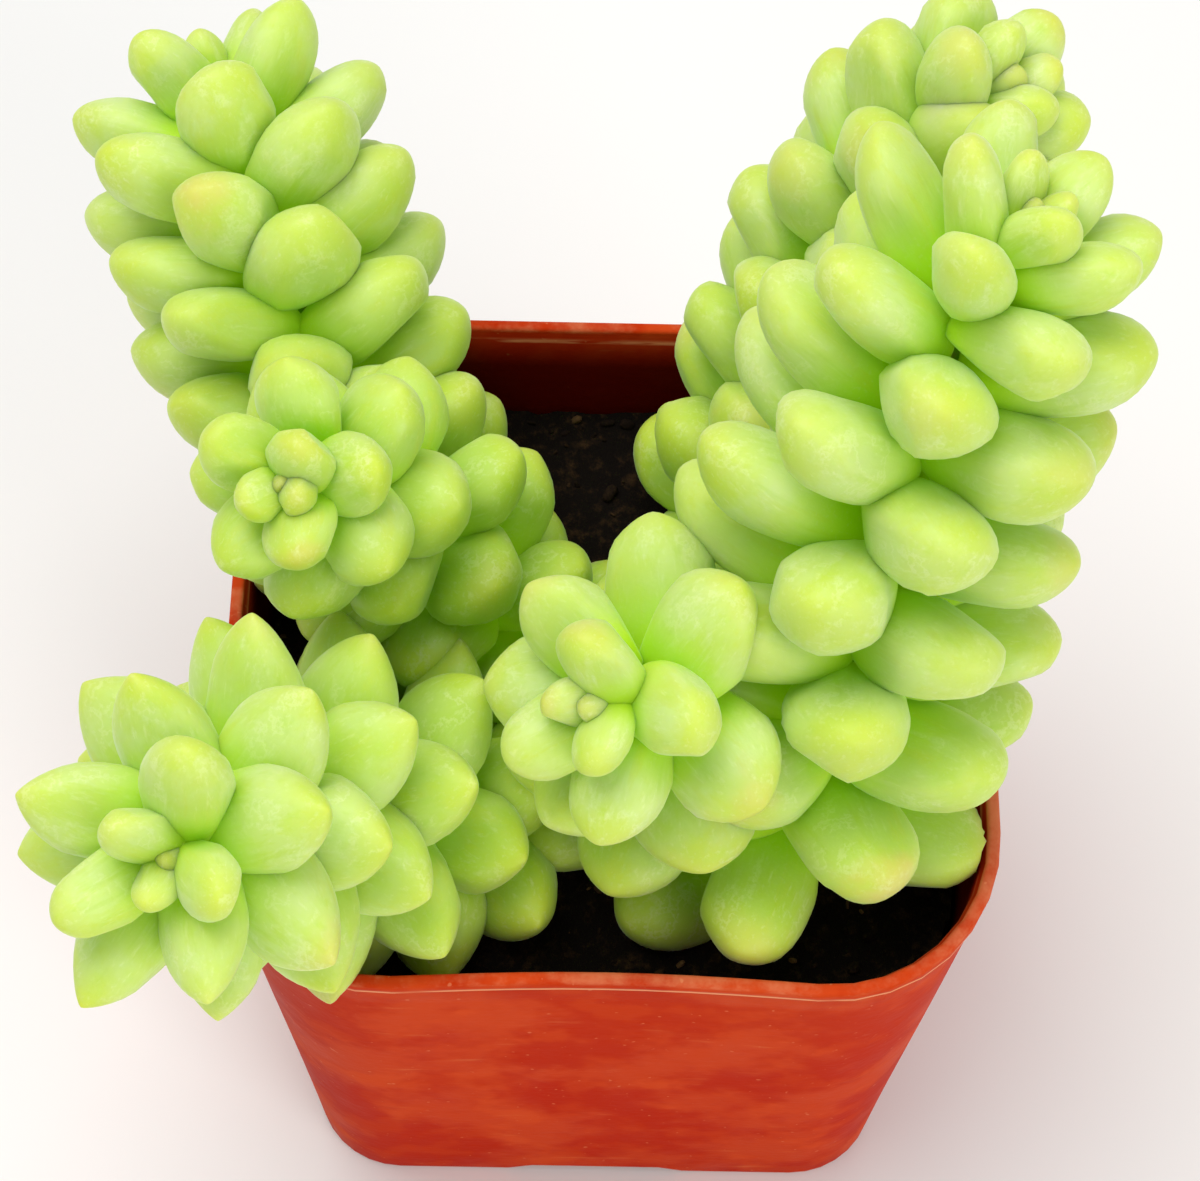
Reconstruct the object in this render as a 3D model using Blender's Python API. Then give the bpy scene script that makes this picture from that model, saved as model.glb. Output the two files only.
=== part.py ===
"""Potted burro's tail: a square nursery pot, its soil, and six leafy shoots.

Units are metres with +Z up. The origin is the middle of the pot's underside, and the
pot's front side faces -Y. Each shoot is a stem rooted in the soil, a mass of plump
leaves whose bases clasp it, and the tight bud of young leaves at its tip.
"""

import math
from dataclasses import dataclass

import bmesh
import bpy
from mathutils import Vector

MM = 0.001

# Clear space left between pieces that touch or press on each other.
GAP = 0.35 * MM
SHOOT_GAP = 0.42 * MM

# The pot: a thin moulded square with round corners, wider at the rim.
POT_WIDTH = 63.5 * MM
POT_BASE_WIDTH = 53.0 * MM
POT_HEIGHT = 58.0 * MM
POT_WALL = 1.1 * MM
POT_FLOOR = 2.8 * MM
RIM_CORNER = 15.0 * MM
BASE_CORNER = 8.0 * MM
RIM_ROUND = 0.35 * MM
BASE_ROUND = 0.6 * MM
FLOOR_FILLET = 1.6 * MM
FRONT_BOW = 1.2 * MM
CORNER_STEPS = 4
SIDE_STEPS = 3

# Drain channels run out under the middle of each side, with a hole in each.
CHANNEL_WIDTH = 19.0 * MM
CHANNEL_TOP = 12.0 * MM
CHANNEL_DEPTH = 1.7 * MM
CHANNEL_START = 12.0 * MM
DRAIN_RADIUS = 2.5 * MM
DRAIN_OFFSET = 17.0 * MM
DRAIN_SIDES = 16

# The soil fills the pot to this height, with a gently lumpy top.
SOIL_LEVEL = 47.5 * MM
SOIL_LUMP = 0.5 * MM
SOIL_WAVE_X = 4.3 * MM
SOIL_WAVE_Y = 5.3 * MM
SOIL_PHASE_X = 0.7
SOIL_PHASE_Y = -0.4
SOIL_RINGS = 3

# Stems: tapered tubes that go on down into the soil.
STEM_RADIUS = 2.1 * MM
STEM_TIP_RADIUS = 1.3 * MM
STEM_SIDES = 6
STEM_STATIONS = 9
ROOT_DEPTH = 9.0 * MM

# The ring of joined leaf bases around a stem, and the short core that a bud grows on.
CLASP_WALL = 3.0 * MM
CLASP_SIDES = 8
CLASP_STATIONS = 7
CLASP_OVER_SOIL = 1.0 * MM
BUD_LEAVES = 6
BUD_CORE = 2.6 * MM
BUD_CORE_RADIUS = 1.1 * MM

# Leaves sit on a spiral, each turned by the golden angle from the last.
GOLDEN_ANGLE = math.radians(137.508)
LEAF_BASE_OUT = 1.2 * MM
LEAF_BASE_FULL = 6
LEAF_RISE = 0.08
LEAF_SMALLEST = 0.25
LEAF_FLATNESS = 0.78
LEAF_PLUMPNESS = 0.94
LEAF_WIDEST = 1.15
LEAF_BLUNTNESS = 0.65
LEAF_FIRST_OPEN = 0.6
LEAF_SIDES = 5
LEAF_MIDDLE = 0.6
LEAF_RINGS = (0.34, 0.76)
PATH_STEPS = 80

# A leaf needs this much room between its middle and the soil, a wall or another shoot's stem.
LEAF_CLEARANCE = 1.0 * MM
SHOOT_CLEARANCE = 9.5 * MM
SMALLEST_STEP = 0.002 * MM

LEAF_GREEN = (0.45, 0.68, 0.15)
BUD_GREEN = (0.50, 0.72, 0.22)
STEM_GREEN = (0.30, 0.45, 0.12)
SOIL_BROWN = (0.020, 0.013, 0.009)
POT_RED = (0.58, 0.075, 0.020)


@dataclass(frozen=True)
class Shoot:
    """One shoot's path in millimetres, and the rule that its leaves follow."""

    name: str
    path: tuple
    leaves: int
    first_angle: float
    turn: int
    spacing: float
    leaf_length: float
    leaf_width: float
    spread: float
    crowding: float
    growing: float
    opening: float


@dataclass(frozen=True)
class Leaf:
    """Where one leaf starts, the way it points and curves, and its size."""

    base: Vector
    direction: Vector
    rise: Vector
    side: Vector
    length: float
    width: float

    def axis_point(self, share):
        """Return the point this share of the way along the leaf."""
        along = self.length * share
        return self.base + self.direction * along + self.rise * (LEAF_RISE * along * share)


SHOOTS = (
    Shoot("right_tall", ((12.7, -12.3, 44.0), (19.0, -17.2, 62.4), (18.0, 3.0, 85.0), (27.9, 7.6, 105.7)),
          56, 210, 1, 1.38, 15.9, 9.2, 77, 7.0, 6.8, 7.2),
    Shoot("left_back", ((-15.4, 11.1, 44.0), (-27.0, 18.5, 59.2), (-25.5, 24.1, 68.2), (-34.5, 42.2, 75.8)),
          56, 85, -1, 0.91, 14.0, 8.6, 77, 2.6, 4.2, 4.2),
    Shoot("left_front", ((-8.9, -12.5, 43.3), (-18.3, -13.1, 54.2), (-28.1, -17.4, 65.1), (-31.8, -29.7, 79.5)),
          50, 21, -1, 1.08, 14.8, 8.8, 89, 5.7, 4.4, 6.8),
    Shoot("centre", ((5.5, -6.5, 44.0), (6.2, -9.6, 59.9), (6.6, -10.8, 74.2), (-0.6, -17.5, 80.9)),
          36, 18, 1, 1.66, 14.1, 9.8, 85, 4.6, 5.4, 4.6),
    Shoot("right_back", ((11.9, 18.0, 44.0), (15.7, 18.2, 66.7), (20.3, 30.8, 82.6), (28.5, 30.7, 92.8)),
          50, 101, 1, 1.23, 12.3, 8.6, 65, 6.0, 5.3, 7.9),
    Shoot("left_middle", ((-7.0, 3.5, 43.9), (-13.9, 8.8, 58.7), (-22.2, 10.3, 69.4), (-24.9, 0.1, 82.2)),
          34, 93, -1, 1.56, 11.9, 8.9, 80, 4.8, 6.1, 6.1),
)


def clear_objects():
    """Remove whatever the file already holds."""
    for old in list(bpy.data.objects):
        bpy.data.objects.remove(old, do_unlink=True)


def make_material(name, colour, roughness):
    """Return a Principled material of one colour."""
    material = bpy.data.materials.new(name)
    material.use_nodes = True
    shader = material.node_tree.nodes["Principled BSDF"]
    shader.inputs["Base Color"].default_value = (*colour, 1.0)
    shader.inputs["Roughness"].default_value = roughness
    shader.inputs["Metallic"].default_value = 0.0
    return material


def make_object(name, bm, material=None):
    """Turn a bmesh into a linked object of triangles, which a Boolean cuts cleanly."""
    bmesh.ops.triangulate(bm, faces=bm.faces)
    bmesh.ops.recalc_face_normals(bm, faces=bm.faces)
    mesh = bpy.data.meshes.new(name)
    bm.to_mesh(mesh)
    bm.free()
    if material:
        mesh.materials.append(material)
    piece = bpy.data.objects.new(name, mesh)
    bpy.context.scene.collection.objects.link(piece)
    return piece


def loft(bm, rings):
    """Skin a list of rings of points, and cap both ends."""
    rows = [[bm.verts.new(point) for point in ring] for ring in rings]
    for low, high in zip(rows, rows[1:]):
        for index, vertex in enumerate(low):
            after = (index + 1) % len(low)
            bm.faces.new((vertex, low[after], high[after], high[index]))
    bm.faces.new(list(reversed(rows[0])))
    bm.faces.new(rows[-1])


def combine(target, cutter, operation, remove_cutter=True):
    """Apply a Boolean of the cutter to the target."""
    modifier = target.modifiers.new(name=operation.title(), type="BOOLEAN")
    modifier.operation = operation
    modifier.object = cutter
    modifier.solver = "EXACT"
    modifier.use_self = True
    graph = bpy.context.evaluated_depsgraph_get()
    result = bpy.data.meshes.new_from_object(target.evaluated_get(graph))
    target.modifiers.clear()
    target.data = result
    if remove_cutter:
        bpy.data.objects.remove(cutter, do_unlink=True)


def keep_largest_body(piece):
    """Close up tiny edges, and drop the offcuts that a cut leaves behind."""
    bm = bmesh.new()
    bm.from_mesh(piece.data)
    bmesh.ops.remove_doubles(bm, verts=bm.verts, dist=SMALLEST_STEP)
    unseen = set(bm.verts)
    bodies = []
    while unseen:
        waiting = [unseen.pop()]
        body = []
        while waiting:
            vertex = waiting.pop()
            body.append(vertex)
            near = {edge.other_vert(vertex) for edge in vertex.link_edges} & unseen
            unseen -= near
            waiting.extend(near)
        bodies.append(body)
    bodies.sort(key=len)
    for body in bodies[:-1]:
        bmesh.ops.delete(bm, geom=body, context="VERTS")
    bm.to_mesh(piece.data)
    bm.free()


def square_ring(half, corner, height, bow):
    """Return a square of points with round corners, its front side pressed in by bow."""
    flat = half - corner
    side = [Vector((half, flat * (2 * step / (SIDE_STEPS + 1) - 1))) for step in range(1, SIDE_STEPS + 1)]
    for step in range(CORNER_STEPS + 1):
        angle = math.radians(90) * step / CORNER_STEPS
        side.append(Vector((flat + corner * math.cos(angle), flat + corner * math.sin(angle))))
    ring = []
    for quarter in range(4):
        cosine, sine = ((1, 0), (0, 1), (-1, 0), (0, -1))[quarter]
        for point in side:
            x = point.x * cosine - point.y * sine
            y = point.x * sine + point.y * cosine
            if y < -flat:
                y += bow * math.cos(math.pi * x / (2 * half)) ** 2
            ring.append(Vector((x, y, height)))
    return ring


def pot_ring(height, inset):
    """Return the pot's outline at a height, moved inwards by inset."""
    rise = height / POT_HEIGHT
    half = (POT_BASE_WIDTH + (POT_WIDTH - POT_BASE_WIDTH) * rise) / 2
    corner = BASE_CORNER + (RIM_CORNER - BASE_CORNER) * rise
    return square_ring(half - inset, corner - inset, height, FRONT_BOW * rise * rise)


def pot_shell(grow):
    """Return the pot's wall and floor as a bmesh, every face moved out by grow."""
    top = POT_HEIGHT + grow
    inner = POT_WALL + grow
    floor = POT_FLOOR + grow
    rings = [
        pot_ring(-grow, BASE_ROUND - grow),
        pot_ring(BASE_ROUND, -grow),
        pot_ring(POT_HEIGHT / 2, -grow),
        pot_ring(POT_HEIGHT - RIM_ROUND, -grow),
        pot_ring(top, RIM_ROUND - grow),
        pot_ring(top, inner - RIM_ROUND),
        pot_ring(POT_HEIGHT - RIM_ROUND, inner),
        pot_ring(POT_HEIGHT / 2, inner),
        pot_ring(floor + FLOOR_FILLET, inner),
        pot_ring(floor, inner + FLOOR_FILLET),
    ]
    bm = bmesh.new()
    loft(bm, rings)
    return bm


def cut_drains(pot):
    """Cut the channel and the hole under the middle of each of the four sides."""
    cutters = bmesh.new()
    length = POT_WIDTH / 2 - CHANNEL_START
    for quarter in range(4):
        turn = math.radians(90 * quarter)
        outward = Vector((math.cos(turn), math.sin(turn), 0))
        across = Vector((-outward.y, outward.x, 0))
        rings = []
        below_half = CHANNEL_WIDTH - CHANNEL_TOP / 2
        for height, half in ((-CHANNEL_DEPTH, below_half), (CHANNEL_DEPTH, CHANNEL_TOP / 2)):
            near = outward * CHANNEL_START + Vector((0, 0, height))
            far = near + outward * length
            rings.append([near - across * half, far - across * half,
                          far + across * half, near + across * half])
        loft(cutters, rings)
    drain = bmesh.new()
    for quarter in range(4):
        turn = math.radians(90 * quarter)
        centre = Vector((math.cos(turn), math.sin(turn), 0)) * DRAIN_OFFSET
        circle = []
        for step in range(DRAIN_SIDES):
            angle = math.tau * step / DRAIN_SIDES
            circle.append(centre + Vector((math.cos(angle), math.sin(angle), 0)) * DRAIN_RADIUS)
        below = Vector((0, 0, -POT_FLOOR))
        above = Vector((0, 0, 2 * POT_FLOOR))
        loft(drain, [[point + below for point in circle], [point + above for point in circle]])
    combine(pot, make_object("channel_cutter", cutters), "DIFFERENCE")
    combine(pot, make_object("drain_cutter", drain), "DIFFERENCE")


def soil_height(x, y):
    """Return the height of the soil's top above the pot's underside."""
    wave = math.sin(x / SOIL_WAVE_X + SOIL_PHASE_X) * math.cos(y / SOIL_WAVE_Y + SOIL_PHASE_Y)
    return SOIL_LEVEL + SOIL_LUMP * wave


def soil_block(lift):
    """Return the soil as a bmesh, its top raised by lift."""
    inset = POT_WALL + GAP
    low = POT_FLOOR + GAP
    rings = [
        pot_ring(low, inset + FLOOR_FILLET),
        pot_ring(low + FLOOR_FILLET, inset),
        pot_ring(SOIL_LEVEL / 2, inset),
    ]
    edge = pot_ring(SOIL_LEVEL, inset)
    for ring in range(SOIL_RINGS):
        share = 1 - ring / SOIL_RINGS
        points = [Vector((point.x * share, point.y * share, 0)) for point in edge]
        for point in points:
            point.z = soil_height(point.x, point.y) + lift
        rings.append(points)
    flat_middle = [Vector((point.x, point.y, SOIL_LEVEL + lift)) for point in rings.pop()]
    rings.append(flat_middle)
    bm = bmesh.new()
    loft(bm, rings)
    return bm


class Path:
    """A shoot's smooth path, with an untwisted frame at every point."""

    def __init__(self, corners):
        start, rise, lean, end = (Vector(corner) * MM for corner in corners)
        self.points = []
        for step in range(PATH_STEPS + 1):
            t = step / PATH_STEPS
            near, far = 1 - t, t
            self.points.append(near ** 3 * start + 3 * near * near * far * rise
                               + 3 * near * far * far * lean + far ** 3 * end)
        self.tangents = [(after - before).normalized()
                         for before, after in zip(self.points, self.points[1:])]
        self.tangents.append(self.tangents[-1])
        self.sides = [self._square_to(Vector((1, 0, 0)), self.tangents[0])]
        for before, after in zip(self.tangents, self.tangents[1:]):
            turned = before.rotation_difference(after) @ self.sides[-1]
            self.sides.append(self._square_to(turned, after))
        self.reached = [0.0]
        for before, after in zip(self.points, self.points[1:]):
            self.reached.append(self.reached[-1] + (after - before).length)
        self.length = self.reached[-1]

    @staticmethod
    def _square_to(vector, axis):
        return (vector - axis * vector.dot(axis)).normalized()

    def at(self, distance):
        """Return the point, tangent and side at a distance from the soil end."""
        if distance <= 0:
            return self.points[0] + self.tangents[0] * distance, self.tangents[0], self.sides[0]
        if distance >= self.length:
            beyond = distance - self.length
            return self.points[-1] + self.tangents[-1] * beyond, self.tangents[-1], self.sides[-1]
        step = next(i for i, reached in enumerate(self.reached) if reached > distance) - 1
        share = (distance - self.reached[step]) / (self.reached[step + 1] - self.reached[step])
        point = self.points[step].lerp(self.points[step + 1], share)
        tangent = self.tangents[step].lerp(self.tangents[step + 1], share).normalized()
        side = self._square_to(self.sides[step].lerp(self.sides[step + 1], share), tangent)
        return point, tangent, side

    def height_reached(self, height):
        """Return the distance at which the path first rises to a height."""
        return next(reached for point, reached in zip(self.points, self.reached) if point.z >= height)


def tube(path, start, end, radius_at, sides, stations):
    """Return a closed tube along part of a path, as a bmesh."""
    rings = []
    for station in range(stations + 1):
        distance = start + (end - start) * station / stations
        point, tangent, side = path.at(distance)
        across = tangent.cross(side)
        radius = radius_at(distance)
        ring = []
        for step in range(sides):
            angle = math.tau * step / sides
            ring.append(point + (side * math.cos(angle) + across * math.sin(angle)) * radius)
        rings.append(ring)
    bm = bmesh.new()
    loft(bm, rings)
    return bm


def stem_tube(path, grow):
    """Return a stem, its buried end included, as a bmesh that is thicker by grow."""
    end = path.length - BUD_CORE - GAP

    def radius_at(distance):
        share = max(0.0, distance) / path.length
        return STEM_RADIUS + (STEM_TIP_RADIUS - STEM_RADIUS) * share + grow

    return tube(path, -ROOT_DEPTH - grow, end + grow, radius_at, STEM_SIDES, STEM_STATIONS)


def grow_leaves(shoot, path):
    """Return the shoot's leaves from the youngest at the tip to the oldest by the soil."""
    leaves = []
    for number in range(shoot.leaves):
        packed = shoot.crowding * (1 - math.exp(-number / shoot.crowding))
        distance = path.length - shoot.spacing * MM * (number - packed)
        if distance < 0:
            break
        point, tangent, side = path.at(distance)
        across = tangent.cross(side)
        angle = math.radians(shoot.first_angle) + shoot.turn * GOLDEN_ANGLE * number
        outward = side * math.cos(angle) + across * math.sin(angle)
        grown = 1 - (1 - LEAF_SMALLEST) * math.exp(-number / shoot.growing)
        opened = math.radians(shoot.spread) * (1 - math.exp(-(number + LEAF_FIRST_OPEN) / shoot.opening))
        leaves.append(Leaf(
            base=point + outward * LEAF_BASE_OUT * min(1.0, number / LEAF_BASE_FULL),
            direction=tangent * math.cos(opened) + outward * math.sin(opened),
            rise=tangent,
            side=tangent.cross(outward).normalized(),
            length=shoot.leaf_length * MM * grown,
            width=shoot.leaf_width * MM * grown,
        ))
    return leaves


def has_room(leaf, stronger_paths):
    """Tell whether a leaf's middle is clear of the soil, the pot's wall and the stronger shoots."""
    middle = leaf.axis_point(LEAF_MIDDLE)
    if middle.z < SOIL_LEVEL + LEAF_CLEARANCE:
        return False
    for path in stronger_paths:
        if min((middle - point).length for point in path.points) < SHOOT_CLEARANCE:
            return False
    reach = max(abs(middle.x), abs(middle.y))
    return middle.z > POT_HEIGHT + LEAF_CLEARANCE or reach < POT_WIDTH / 2 - POT_WALL - LEAF_CLEARANCE


def leaf_girth(share):
    """Return a leaf's thickness at a share of its length, from 0 to 1."""
    return LEAF_PLUMPNESS * math.sin(math.pi * share ** LEAF_WIDEST) ** LEAF_BLUNTNESS


def add_leaf(bm, leaf, grow):
    """Add a plump leaf: rings of points around its axis between two pointed ends."""
    facing = leaf.side.cross(leaf.direction).normalized()
    stretch = 2 * grow / leaf.length
    rings = []
    for share in LEAF_RINGS:
        half_width = leaf.width / 2 * leaf_girth(share) + grow
        half_depth = (half_width - grow) * LEAF_FLATNESS + grow
        centre = leaf.axis_point(share)
        ring = []
        for step in range(LEAF_SIDES):
            angle = math.tau * step / LEAF_SIDES
            offset = leaf.side * math.cos(angle) * half_width + facing * math.sin(angle) * half_depth
            ring.append(bm.verts.new(centre + offset))
        rings.append(ring)
    foot = bm.verts.new(leaf.axis_point(0.0))
    tip = bm.verts.new(leaf.axis_point(1.0 + stretch))
    for step in range(LEAF_SIDES):
        after = (step + 1) % LEAF_SIDES
        bm.faces.new((foot, rings[0][after], rings[0][step]))
        for low, high in zip(rings, rings[1:]):
            bm.faces.new((low[step], low[after], high[after], high[step]))
        bm.faces.new((rings[-1][step], rings[-1][after], tip))


def leaf_bodies(leaves, grow):
    """Return all the given leaves as one bmesh of overlapping bodies."""
    bm = bmesh.new()
    for leaf in leaves:
        add_leaf(bm, leaf, grow)
    return bm


def bud_core(path, grow):
    """Return the short core at the shoot's tip that carries the bud's leaves."""
    start = path.length - BUD_CORE - grow
    return tube(path, start, path.length + grow, lambda distance: BUD_CORE_RADIUS + grow, CLASP_SIDES, 1)


def leaf_clasp(path, grow):
    """Return the sleeve of leaf bases around the stem, as a solid tube."""
    start = path.height_reached(SOIL_LEVEL) + CLASP_OVER_SOIL
    end = path.length - BUD_CORE - GAP

    def radius_at(distance):
        share = distance / path.length
        return STEM_RADIUS + (STEM_TIP_RADIUS - STEM_RADIUS) * share + CLASP_WALL + grow

    return tube(path, start, end, radius_at, CLASP_SIDES, CLASP_STATIONS)


def build():
    """Model the pot, the soil and the six shoots."""
    clear_objects()
    pot_plastic = make_material("terracotta_plastic", POT_RED, 0.42)
    soil_mix = make_material("dark_soil", SOIL_BROWN, 0.95)
    stem_skin = make_material("stem_skin", STEM_GREEN, 0.6)
    leaf_skin = make_material("leaf_skin", LEAF_GREEN, 0.42)
    bud_skin = make_material("bud_skin", BUD_GREEN, 0.42)

    pot = make_object("square_pot", pot_shell(0.0), pot_plastic)
    cut_drains(pot)
    soil = make_object("soil", soil_block(0.0), soil_mix)

    paths = {shoot.name: Path(shoot.path) for shoot in SHOOTS}
    for shoot in SHOOTS:
        make_object("stem_" + shoot.name, stem_tube(paths[shoot.name], 0.0), stem_skin)
        combine(soil, make_object("socket", stem_tube(paths[shoot.name], GAP)), "DIFFERENCE")
    keep_largest_body(soil)

    clearances = []
    stronger_paths = []
    for shoot in SHOOTS:
        path = paths[shoot.name]
        leaves = grow_leaves(shoot, path)
        young = leaves[:BUD_LEAVES]
        grown = [leaf for leaf in leaves[BUD_LEAVES:] if has_room(leaf, stronger_paths)]
        stronger_paths.append(path)
        for part, members, core, skin in (("bud_", young, bud_core, bud_skin),
                                          ("leaves_", grown, leaf_clasp, leaf_skin)):
            piece = make_object(part + shoot.name, leaf_bodies(members, 0.0), skin)
            combine(piece, make_object("core", core(path, 0.0)), "UNION")
            for other in SHOOTS:
                stem = make_object("stem_cutter", stem_tube(paths[other.name], GAP))
                combine(piece, stem, "DIFFERENCE")
            for clearance in clearances:
                combine(piece, clearance, "DIFFERENCE", remove_cutter=False)
            if part == "leaves_":
                combine(piece, make_object("pot_cutter", pot_shell(GAP)), "DIFFERENCE")
                combine(piece, make_object("soil_cutter", soil_block(GAP)), "DIFFERENCE")
            keep_largest_body(piece)
            clearance = make_object("clearance", leaf_bodies(members, SHOOT_GAP))
            combine(clearance, make_object("core", core(path, GAP)), "UNION")
            clearances.append(clearance)
    for clearance in clearances:
        bpy.data.objects.remove(clearance, do_unlink=True)


build()
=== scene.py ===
"""Potted burro's tail: the finished look of the pot, the soil, the shoots and their leaves.

Every length is in metres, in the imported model's own frame: +Z is up and the origin is
the middle of the pot's underside. Sizes given in millimetres carry the MM factor.
"""

import logging
import math
import random
from contextlib import contextmanager
from dataclasses import dataclass
from enum import Enum
from typing import Any, Callable, Dict, Iterator, List, Optional, Sequence, Tuple, Union

import bmesh
import bpy
import numpy as np
from mathutils import Matrix, Vector, noise


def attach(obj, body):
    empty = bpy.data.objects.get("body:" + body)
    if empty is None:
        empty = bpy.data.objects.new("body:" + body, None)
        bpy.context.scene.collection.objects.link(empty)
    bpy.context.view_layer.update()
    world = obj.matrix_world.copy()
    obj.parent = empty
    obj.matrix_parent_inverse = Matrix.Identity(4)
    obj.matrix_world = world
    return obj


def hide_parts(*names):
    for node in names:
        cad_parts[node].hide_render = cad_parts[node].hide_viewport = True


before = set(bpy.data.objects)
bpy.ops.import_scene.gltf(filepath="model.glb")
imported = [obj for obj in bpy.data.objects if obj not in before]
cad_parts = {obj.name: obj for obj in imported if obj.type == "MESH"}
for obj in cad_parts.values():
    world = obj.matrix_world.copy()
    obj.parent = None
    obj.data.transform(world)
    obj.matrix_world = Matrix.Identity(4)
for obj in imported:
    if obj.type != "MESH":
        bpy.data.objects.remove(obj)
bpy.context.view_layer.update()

MM = 0.001
TINY = 1e-9
BODY = "root"
LOG = logging.getLogger("burros_tail")

Colour = Tuple[float, float, float]
Point = Tuple[float, float, float]
Range = Tuple[float, float]
Term = Union[float, "Expression"]


# --- shader expressions -------------------------------------------------------------


class Expression:
    """A shader socket that Python's operators work on, adding Math nodes as they go."""

    def __init__(self, bench: "Bench", socket: bpy.types.NodeSocket) -> None:
        """Wrap a socket.

        Args:
            bench: the material that the socket belongs to.
            socket: the output socket that holds the value.
        """
        self.bench = bench
        self.socket = socket

    def _math(self, operation: str, *values: Term) -> "Expression":
        """Return the result of a Math node on these values."""
        made = self.bench.node("ShaderNodeMath", {"operation": operation}, dict(enumerate(values)))
        return Expression(self.bench, made.outputs[0])

    def __add__(self, other: Term) -> "Expression":
        """Add."""
        return self._math("ADD", self, other)

    __radd__ = __add__

    def __sub__(self, other: Term) -> "Expression":
        """Subtract."""
        return self._math("SUBTRACT", self, other)

    def __rsub__(self, other: Term) -> "Expression":
        """Subtract from a number."""
        return self._math("SUBTRACT", other, self)

    def __mul__(self, other: Term) -> "Expression":
        """Multiply."""
        return self._math("MULTIPLY", self, other)

    __rmul__ = __mul__

    def ramp(self, start: float, end: float) -> "Expression":
        """Return 0 before start and 1 after end, with a smooth rise between.

        Args:
            start: the value where the rise begins.
            end: the value where it is complete; below start, the ramp falls instead.

        Returns:
            The smoothed share.
        """
        settings = {"interpolation_type": "SMOOTHSTEP", "clamp": True}
        inputs = {0: self, 1: start, 2: end, 3: 0.0, 4: 1.0}
        made = self.bench.node("ShaderNodeMapRange", settings, inputs)
        return Expression(self.bench, made.outputs[0])

    def line(self, middle: float, reach: float) -> "Expression":
        """Return 1 along the contour where the value is middle, and 0 past reach on both sides."""
        hair = reach / 20
        return self.ramp(middle - reach, middle - hair) * self.ramp(middle + reach, middle + hair)


class Bench:
    """One material's node tree, and the tools that fill it."""

    def __init__(self, name: str) -> None:
        """Start a material with a Principled shader.

        Args:
            name: the material's name.
        """
        self.material = bpy.data.materials.new(name)
        self.material.use_nodes = True
        self.tree = self.material.node_tree
        self.shader = self.tree.nodes["Principled BSDF"]

    def node(self, kind: str, settings: Optional[Dict[str, Any]] = None,
             inputs: Optional[Dict[Union[int, str], Any]] = None) -> bpy.types.Node:
        """Add any node.

        Args:
            kind: the node's type.
            settings: its own properties, set first.
            inputs: a value or a link for each of its sockets.

        Returns:
            The new node.
        """
        made = self.tree.nodes.new(kind)
        for key, value in (settings or {}).items():
            setattr(made, key, value)
        for key, value in (inputs or {}).items():
            self.feed(made.inputs[key], value)
        return made

    def feed(self, socket: bpy.types.NodeSocket, value: Any) -> None:
        """Give a socket a value or a link."""
        if isinstance(value, Expression):
            self.tree.links.new(value.socket, socket)
        elif isinstance(value, bpy.types.NodeSocket):
            self.tree.links.new(value, socket)
        else:
            socket.default_value = value

    def place(self) -> bpy.types.NodeSocket:
        """Return the point being shaded, in the object's own metres."""
        return self.node("ShaderNodeTexCoord").outputs["Object"]

    def stretched(self, scale: Point) -> bpy.types.NodeSocket:
        """Return the point being shaded, stretched along each axis."""
        return self.node("ShaderNodeMapping", None, {"Vector": self.place(), "Scale": scale}).outputs[0]

    def noise(self, size: float, detail: float = 3.0, roughness: float = 0.55,
              where: Optional[bpy.types.NodeSocket] = None, offset: float = 0.0) -> Expression:
        """Return smooth noise.

        Args:
            size: the width of its lumps, in metres.
            detail: how many finer layers it has.
            roughness: how strong the finer layers are.
            where: the coordinates it is read at.
            offset: a fourth coordinate, which makes unlike patterns of one size.

        Returns:
            Values around one half.
        """
        inputs = {"Vector": where or self.place(), "W": offset, "Scale": 1 / size,
                  "Detail": detail, "Roughness": roughness}
        made = self.node("ShaderNodeTexNoise", {"noise_dimensions": "4D"}, inputs)
        return Expression(self, made.outputs[0])

    def attribute(self, name: str) -> Expression:
        """Return a number that the mesh itself carries."""
        made = self.node("ShaderNodeAttribute", {"attribute_name": name})
        return Expression(self, made.outputs["Fac"])

    def mix(self, low: Any, high: Any, share: Term) -> bpy.types.NodeSocket:
        """Mix two colours.

        Args:
            low: the colour, or the link to one, where share is 0.
            high: the colour, or the link to one, where share is 1.
            share: how far to go from one to the other.

        Returns:
            The mixed colour.
        """
        low, high = (value if isinstance(value, bpy.types.NodeSocket) else (*value, 1.0)
                     for value in (low, high))
        settings = {"data_type": "RGBA", "clamp_factor": True}
        return self.node("ShaderNodeMix", settings, {0: share, 6: low, 7: high}).outputs[2]

    def coats(self, base: Any, *coats: Tuple[Colour, Term]) -> bpy.types.NodeSocket:
        """Lay coats over a base colour, each by its own share, and return the last mix."""
        for colour, share in coats:
            base = self.mix(base, colour, share)
        return base

    def bump(self, height: Expression, depth: float, strength: float = 1.0) -> None:
        """Raise the surface by a height pattern.

        Args:
            height: the pattern, from 0 to 1.
            depth: how deep the pattern is, in metres.
            strength: how much of it shows.
        """
        inputs = {"Strength": strength, "Distance": depth, "Height": height}
        made = self.node("ShaderNodeBump", None, inputs)
        self.feed(self.shader.inputs["Normal"], made.outputs[0])

    def finish(self, **values: Any) -> bpy.types.Material:
        """Set the shader's sockets by name, with underscores for spaces, and return the material."""
        for name, value in values.items():
            self.feed(self.shader.inputs[name.replace("_", " ")], value)
        return self.material


# --- finishes -----------------------------------------------------------------------


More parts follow.
